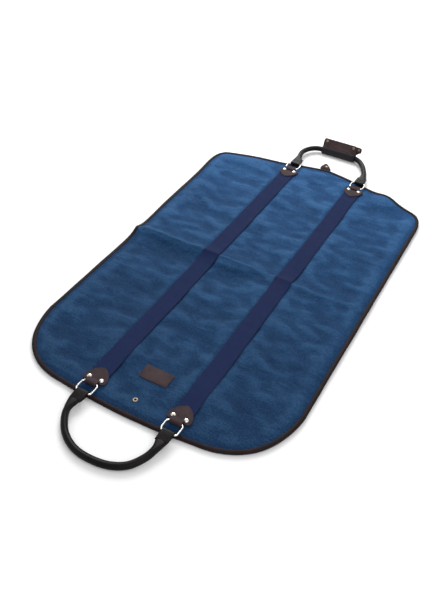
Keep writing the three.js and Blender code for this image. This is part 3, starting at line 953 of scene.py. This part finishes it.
def add_handles():
    for half, out in ENDS.items():
        bar_y = RIVET_Y[half] + out * HANDLE_BAR
        route = [(x, RIVET_Y[half] + out * d, z) for x, d, z in HANDLE_ROUTES[half]]
        route = [(STRAP_X[0], bar_y + out * 5, BAR_Z)] + route + [(STRAP_X[1], bar_y + out * 5, BAR_Z)]
        path = spline(route, 220)
        run = np.concatenate([[0], np.cumsum(np.linalg.norm(np.diff(path, axis=0), axis=1))])
        from_end = np.minimum(run, run[-1] - run)
        roundness = smoothstep(8, 44, from_end)
        base = oval(1, 1, 28)
        boxy = oval(1, 1, 28, 4.5)
        sections = []
        for amount in roundness:
            outline_2d = boxy * (1 - amount) + base * amount
            sections.append(outline_2d * [13.0 * (1 - amount) + ROLL_RADIUS * amount,
                                          2.7 * (1 - amount) + ROLL_RADIUS * amount])
        parts = Parts().add(*sweep(path, np.array(sections)))
        for x0 in STRAP_X:
            parts.add(*loop_ribbon(x0, bar_y, BAR_Z, -out, 13.0, 26, radius=3.5, thickness=1.8, tail=22))
        tangent = np.gradient(path, axis=0)
        tangent /= np.linalg.norm(tangent, axis=1, keepdims=True)
        side = np.cross(tangent, [0, 0, 1.0])
        turning = np.sign(side[:, 1].mean() * out) or 1.0
        width = 13.0 * (1 - roundness) + ROLL_RADIUS * roundness
        keep = from_end > 30
        inner = path + side * (-(width * 0.80) * turning)[:, None]
        inner[:, 2] += ROLL_RADIUS * 0.62
        parts.add(*sweep(inner[keep], oval(1.0, 0.75, 10)))
        seam = inner[keep] + [0, 0, 0.78]
        parts.add(*stitch_row(seam, pitch=4.4, length=3.0, radius=0.3), 1)
        for x0 in STRAP_X:
            for across in (-9.5, 9.5):
                line = [(x0 + across, bar_y + out * d, BAR_Z + 4.55 - 0.065 * d) for d in (6, 15, 24)]
                parts.add(*stitch_row(line), 1)
        parts.piece(f"{half}_rolled_handle", [HANDLE, THREAD], body=f"{half}_handle", slot="handle_leather",
                    replaces=(f"{half}_handle",))


add_handles()

WRAP_TILT, WRAP_MOUTH = 0.5, 4.5
FLAPS = {"near": (-1, 0.5), "far": (1, 0.25)}         # side of the mouth, lean towards +Y in radians
FLAP_HEIGHT, WRAP_THICK = 22.0, 2.0


def wrap_path(side, lean, middle, radius, root):
    """From under the handle, round one side of it and up a flap: (y, z) points and distance past the root."""
    lip = math.pi / 2 - WRAP_TILT - side * math.asin(WRAP_MOUTH / (radius + WRAP_THICK / 2))
    bottom = -math.pi / 2 - WRAP_TILT
    start = bottom + (2 * math.pi if side < 0 else 0)
    turn = np.linspace(start, lip, 40)
    arc = np.stack([middle[0] + radius * np.cos(turn), middle[1] + radius * np.sin(turn)], 1)
    rise = np.linspace(0, FLAP_HEIGHT, 26)[1:]
    ripple = 0.5 * (rise / FLAP_HEIGHT) ** 2 * -side
    flap = np.stack([root[0] + rise * math.sin(lean) + ripple, root[1] + rise * math.cos(lean)], 1)
    path = np.vstack([arc[:-2], flap[1:]])
    for _ in range(3):
        path[1:-1] = (path[:-2] + 2 * path[1:-1] + path[2:]) / 4
    return path, np.concatenate([np.full(len(arc) - 2, -1.0), rise[1:]])


def add_wrap():
    low, high = node_box("wrap_saddle")
    saddle_x, half_length = (low[0] + high[0]) / 2, (high[0] - low[0]) / 2
    middle = joint_at("wrap_turn")[1:]
    radius = middle[1] - low[2] - WRAP_THICK / 2
    for name, (side, lean) in FLAPS.items():
        low, high = node_box(f"wrap_{name}_flap")
        flap_x, flap_half = (low[0] + high[0]) / 2, (high[0] - low[0]) / 2
        root = joint_at(f"wrap_{name}_flap_hinge")
        path, rise = wrap_path(side, lean, middle, radius, root[1:])
        up = smoothstep(-1, 9, rise)
        spine_x = saddle_x + (flap_x - saddle_x) * up
        corner = 6.0
        drop = np.clip(rise - (FLAP_HEIGHT - corner), 0, corner)
        half = half_length + (flap_half - half_length) * up - (corner - np.sqrt(corner ** 2 - drop ** 2))
        thin = np.where(rise > FLAP_HEIGHT - 0.9, 0.6, 1.0)
        sections = oval(1, 1, 52, 9)[None] * np.stack([half, WRAP_THICK / 2 * thin], 1)[:, None]
        spine = np.column_stack([spine_x, path])
        points, faces = sweep(spine, sections, side=(1, 0, 0))
        parts = Parts()
        centre_rise = np.repeat(rise, 52)
        # faces round the handle take the near-black third material, the flaps the first
        darkness = [0 if centre_rise[face[0]] > 0 else 2 for face in faces[:-2]] + [2, 0]
        parts.add(points, faces)
        parts.marks = darkness
        tangent = np.gradient(spine, axis=0)
        across = np.cross([1.0, 0, 0], tangent)
        across /= np.linalg.norm(across, axis=1, keepdims=True)
        for face_side in (-1, 1):
            shell = spine + across * face_side * (WRAP_THICK / 2 + 0.1)
            left, right = shell.copy(), shell.copy()
            left[:, 0] -= half - 2.8
            right[:, 0] += half - 2.8
            keep = (rise < FLAP_HEIGHT - 2.6) & (np.arange(len(rise)) > 3)
            border = np.vstack([left[keep], right[keep][::-1]])
            parts.add(*stitch_row(border, pitch=4.2, length=2.8, radius=0.3), 1)
        bend = {"a": "wrap_saddle", "b": f"wrap_{name}_flap",
                "start": to_row([0, root[1] - 3 * math.sin(lean), root[2] - 3 * math.cos(lean)]),
                "end": to_row([0, root[1] + 3 * math.sin(lean), root[2] + 3 * math.cos(lean)])}
        replaced = [f"wrap_{name}_flap"] + (["wrap_saddle"] if name == "near" else [])
        parts.piece(f"wrap_{name}_leather", [FLAP, THREAD, WRAP_DARK], blend=bend, slot="trim_leather",
                    replaces=replaced)
        for end in ("left", "right"):
            node = f"wrap_{name}_stud_{end}"
            centre = middle_of(node)
            axis = [0, -math.cos(lean), math.sin(lean)]
            profile = [(0, -1.6), (3.9, -1.6), (4.0, -0.9), (3.7, -0.3), (3.0, -0.1), (2.6, -0.2), (2.0, 0.2),
                       (1.1, 0.55), (0, 0.65)]
            points, stud_faces = lathe(profile, centre, axis)
            add_piece(f"{node}_cap", points, stud_faces, BRASS, body=f"wrap_{name}_flap",
                      slot="antique_brass", replaces=(node,))


add_wrap()


# ---- label, eyelet and hanger tab -----------------------------------------------------------------------
def add_label():
    low, high = node_box("label_patch")
    x, y = (high - low)[:2] / 2
    shape = rounded_rectangle(x, y, 2.2, 0, 80)
    shape = resample(np.vstack([shape, shape[:1]]), 80, True) + ((low + high) / 2)[:2]

    def rise(px, py):
        return low_shape(px, py) - CLOTH_TOP

    parts = Parts().add(*rounded_plate(shape, low[2] - 0.6, 2.0, 0.6, 0.5, rise))
    seam = inset_loop(shape, 2.6)
    seam = np.column_stack([seam, low[2] + 1.5 + low_shape(seam[:, 0], seam[:, 1]) - CLOTH_TOP])
    parts.add(*stitch_row(np.vstack([seam, seam[:1]]), pitch=3.4, length=2.3, radius=0.28), 1)
    parts.piece("label_leather", [TRIM, THREAD], body="near_half", slot="trim_leather",
                replaces=("label_patch",))


def add_eyelet():
    low, high = node_box("hem_eyelet")
    x, y = ((low + high) / 2)[:2]
    base = CLOTH_TOP + 0.2
    profile = [(2.4, -1.5), (2.4, 0.7), (2.7, 1.1), (3.3, 1.35), (4.3, 1.3), (5.1, 0.95), (5.5, 0.4),
               (5.4, 0.0), (3.0, 0.0), (3.0, -1.5)]
    points, faces = lathe(profile, [x, y, base])
    parts = Parts().add(points, faces)
    disc, disc_faces = lathe([(0, -0.9), (2.5, -0.9), (2.5, 0.15), (0, 0.15)], [x, y, base])
    parts.add(disc, disc_faces, 1)
    parts.piece("hem_eyelet_ring", [BRASS, DARK], body="near_half", slot="antique_brass",
                replaces=("hem_eyelet",))


def add_tab():
    """A small pointed tab that comes out of the binding's outer edge and turns up."""
    low, high = node_box("hanger_tab")
    half, length = (high[0] - low[0]) / 2, high[1] - low[1]
    hidden = 5.0                                     # how far its root goes into the binding
    right = np.vstack([[(half - 0.5, -hidden), (half, 0)],
                       bezier((half, 0), (half - 5, length * 0.62), (0.8, length), 14)[1:]])
    slant = right[:, 1:] * [-0.28, 0]
    left = right[::-1] * [-1, 1] + slant[::-1]
    shape = np.vstack([right + slant, left]) + [middle_of("hanger_tab")[0], low[1]]

    def rise(x, y):
        out = y - low[1]
        return 2.5 * smoothstep(0, length, out) ** 2 - 3.6 * (1 - smoothstep(-hidden, 3, out))

    parts = Parts().add(*rounded_plate(shape, low[2], 2.0, 0.6, 0.2, rise))
    seam = inset_loop(shape, 2.4)[3:-2]
    seam = np.column_stack([seam, high[2] + 0.1 + rise(seam[:, 0], seam[:, 1])])
    parts.add(*stitch_row(seam, pitch=3.6, length=2.4, radius=0.28), 1)
    parts.piece("hanger_tab_leather", [TRIM, THREAD], body="hanger_tab", slot="trim_leather",
                replaces=("hanger_tab",))
    low, high = node_box("hanger_tab_stud")
    radius = (high[0] - low[0]) / 2
    centre = [(low[0] + high[0]) / 2, (low[1] + high[1]) / 2, low[2]]
    profile = [(0, -0.5), (radius - 0.1, -0.5), (radius, 0.3), (radius - 0.5, 0.8), (radius - 1.1, 0.7),
               (radius - 1.8, 1.1), (0, 1.5)]
    points, faces = lathe(profile, centre)
    add_piece("hanger_tab_stud_cap", points, faces, BRASS, body="hanger_tab", slot="antique_brass",
              replaces=("hanger_tab_stud",))


add_label()
add_eyelet()
add_tab()


# ---- zip on the underside ---------------------------------------------------------------------------------
def block(low, high, edge=0.3):
    """A softened block between two corners."""
    low, high = np.array(low, float), np.array(high, float)
    x, y = (high - low)[:2] / 2
    loop = rounded_rectangle(x, y, min(edge * 2, x * 2 / 3), 0, 40)
    return rounded_plate(loop + ((low + high) / 2)[:2], low[2], high[2] - low[2], edge / 2)


def add_zip():
    for side, sign in (("left", -1), ("right", 1)):
        low, high = node_box(f"near_zip_tape_{side}")
        start, stop = HEM_Y + 6, node_box(f"far_zip_tape_{side}")[1][1]
        rows = np.unique(np.concatenate([np.linspace(start, -8, 130), np.linspace(-8, 8, 17),
                                         np.linspace(8, stop, 125)]))
        grid_x, grid_y = np.meshgrid(np.linspace(low[0], high[0], 8), rows)
        z = 2.5 + 0.12 * waves(grid_x, grid_y, 30, 71)
        parts = Parts().add(*grid_solid(np.stack([grid_x, grid_y, z], 2)[:, ::-1], 0.5))
        first_tooth = low[1] + 1.2 + (0.6 if sign > 0 else -0.6)
        inner, outer = sign * 0.35, sign * 3.1
        for at in np.arange(first_tooth, stop - 1, 2.4):
            route = [(inner, at, 2.9), ((inner + outer) / 2, at, 2.75), (outer, at, 2.9)]
            parts.add(*sweep(route, oval(0.62, 0.55, 8)), 1)
        parts.piece(f"zip_{side}", [TAPE, BRASS], blend=ZIP_BEND, slot="zip_tape",
                    replaces=(f"near_zip_tape_{side}", f"far_zip_tape_{side}"))
    for half, out in ENDS.items():
        low, high = node_box(f"{half}_zip_stop")
        points, faces = block(low, high, 0.8)
        add_piece(f"{half}_zip_end_stop", points, faces, BRASS, body=f"{half}_half", slot="nickel",
                  replaces=(f"{half}_zip_stop",))
        low, high = node_box(f"{half}_zip_slider")
        y0 = (low[1] + high[1]) / 2 - out * 1.5
        shape = np.array([(-5.5, 6), (-5.2, 1), (-3.2, -5), (-1.6, -6), (1.6, -6), (3.2, -5),
                          (5.2, 1), (5.5, 6), (3.5, 6.4), (0, 5.6), (-3.5, 6.4)]) * [1, out]
        shape = resample(np.vstack([shape, shape[:1]]), 60, True)
        shape = (shape if out > 0 else shape[::-1]) + [0, y0]
        parts = Parts().add(*rounded_plate(shape, 1.3, 0.9, 0.25)).add(*rounded_plate(shape, 3.9, 0.7, 0.25))
        parts.add(*block([-0.4, y0 - 3, 2.0], [0.4, y0 + 3, 4.1], 0.2))
        arch = ((-3.5, 1.5), (-3, 0.8), (0, 0.6), (6.0, 0.6), (8.6, 0.8), (8.9, 1.4))
        bail = [(0, y0 + out * d, z) for d, z in arch]
        parts.add(*sweep(spline(bail, 24), oval(1.0, 0.4, 12), side=(1, 0, 0)))
        parts.piece(f"{half}_slider", [NICKEL], body=f"{half}_zip_slider", slot="nickel",
                    replaces=(f"{half}_zip_slider",))
        low, high = node_box(f"{half}_zip_pull")
        loop = rounded_rectangle(3.3, (high[1] - low[1]) / 2 - 1, 2.4, 0.5, 60) + ((low + high) / 2)[:2]
        points, faces = rounded_plate(loop, low[2], 1.0, 0.35, 0.1)
        add_piece(f"{half}_pull", points, faces, NICKEL, body=f"{half}_zip_pull", slot="nickel",
                  replaces=(f"{half}_zip_pull",))


add_zip()


# ---- floor and light ---------------------------------------------------------------------------------------
def add_studio():
    floor_mesh = bpy.data.meshes.new("floor")
    reach = 30.0
    corners = [(-reach, -reach, 0), (reach, -reach, 0), (reach, reach, 0), (-reach, reach, 0)]
    floor_mesh.from_pydata(corners, [], [(0, 1, 2, 3)])
    floor = bpy.data.objects.new("floor", floor_mesh)
    bpy.context.scene.collection.objects.link(floor)
    paper = bpy.data.materials.new("white_paper")
    paper.use_nodes = True
    shader = paper.node_tree.nodes["Principled BSDF"]
    shader.inputs["Base Color"].default_value = (0.86, 0.86, 0.87, 1)
    shader.inputs["Roughness"].default_value = 0.9
    floor_mesh.materials.append(paper)

    world = bpy.data.worlds.new("studio")
    world.use_nodes = True
    background = world.node_tree.nodes["Background"]
    background.inputs["Color"].default_value = (1, 1, 1, 1)
    background.inputs["Strength"].default_value = 0.75
    bpy.context.scene.world = world

    for name, place, aim, size, power in (("key", (-0.9, 1.7, 1.6), (0, 0.1, 0), 1.6, 60),
                                          ("fill", (1.4, -1.2, 1.7), (0, 0, 0), 1.8, 16)):
        lamp = bpy.data.lights.new(name, "AREA")
        lamp.size = size
        lamp.energy = power
        lamp_object = bpy.data.objects.new(name, lamp)
        direction = np.array(aim, float) - np.array(place)
        direction /= np.linalg.norm(direction)
        side = np.cross(direction, [0, 0, 1.0])
        side /= np.linalg.norm(side)
        up = np.cross(side, direction)
        lamp_object.matrix_world = Matrix([[side[i], up[i], -direction[i], place[i]] for i in range(3)]
                                          + [[0, 0, 0, 1]])
        bpy.context.scene.collection.objects.link(lamp_object)


add_studio()
bpy.context.scene.view_settings.view_transform = "Standard"
